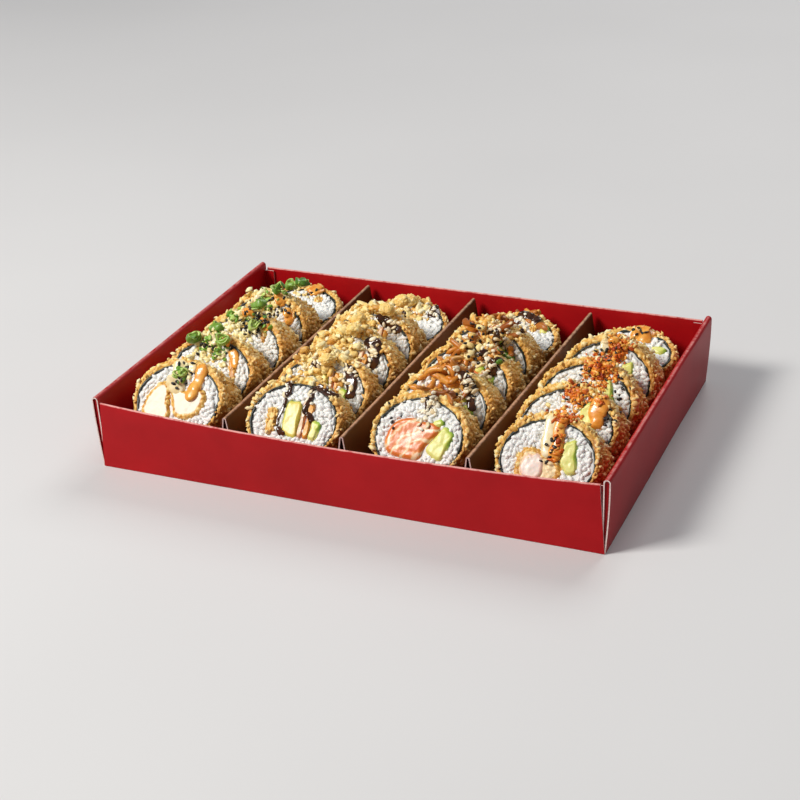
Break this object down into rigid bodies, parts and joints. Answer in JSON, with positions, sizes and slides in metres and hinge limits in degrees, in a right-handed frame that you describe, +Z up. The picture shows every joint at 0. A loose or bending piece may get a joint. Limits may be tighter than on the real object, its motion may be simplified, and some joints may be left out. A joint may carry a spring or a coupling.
{
  "type": "takeaway sushi tray",
  "caption": "Open folded card tray with card dividers, filled with rows of leaning deep-fried sushi rolls under sauce and crisp toppings.",
  "frame": {"origin": "centre of the tray's underside", "axes": "+X along the tray's width, +Y to its back where the last roll of each row lies, +Z up"},
  "size_m": [0.254, 0.182, 0.053],
  "materials": {
    "red_card": "satin laminated card",
    "fried_roll": "golden fried crumb crust round nori, rice and fillings",
    "scallion": "fresh cut leaf",
    "crunchy_batter": "crisp fried batter"
  },
  "bodies": {
    "root": {"tray": "red_card", "divider_left": "red_card", "divider_middle": "red_card", "divider_right": "red_card", "roll_1_1": "fried_roll", "roll_1_2": "fried_roll", "roll_1_3": "fried_roll", "roll_1_4": "fried_roll", "roll_1_5": "fried_roll", "roll_2_1": "fried_roll", "roll_2_2": "fried_roll", "roll_2_3": "fried_roll", "roll_2_4": "fried_roll", "roll_2_5": "fried_roll", "roll_3_1": "fried_roll", "roll_3_2": "fried_roll", "roll_3_3": "fried_roll", "roll_3_4": "fried_roll", "roll_3_5": "fried_roll", "roll_4_1": "fried_roll", "roll_4_2": "fried_roll", "roll_4_3": "fried_roll", "roll_4_4": "fried_roll", "roll_4_5": "fried_roll", "scallion_1": "scallion", "scallion_2": "scallion", "scallion_3": "scallion", "scallion_4": "scallion", "scallion_5": "scallion", "scallion_6": "scallion", "scallion_7": "scallion", "scallion_8": "scallion", "scallion_9": "scallion", "crunch_1": "crunchy_batter", "crunch_2": "crunchy_batter", "crunch_3": "crunchy_batter", "crunch_4": "crunchy_batter", "crunch_5": "crunchy_batter", "crunch_6": "crunchy_batter"}
  },
  "joints": []
}
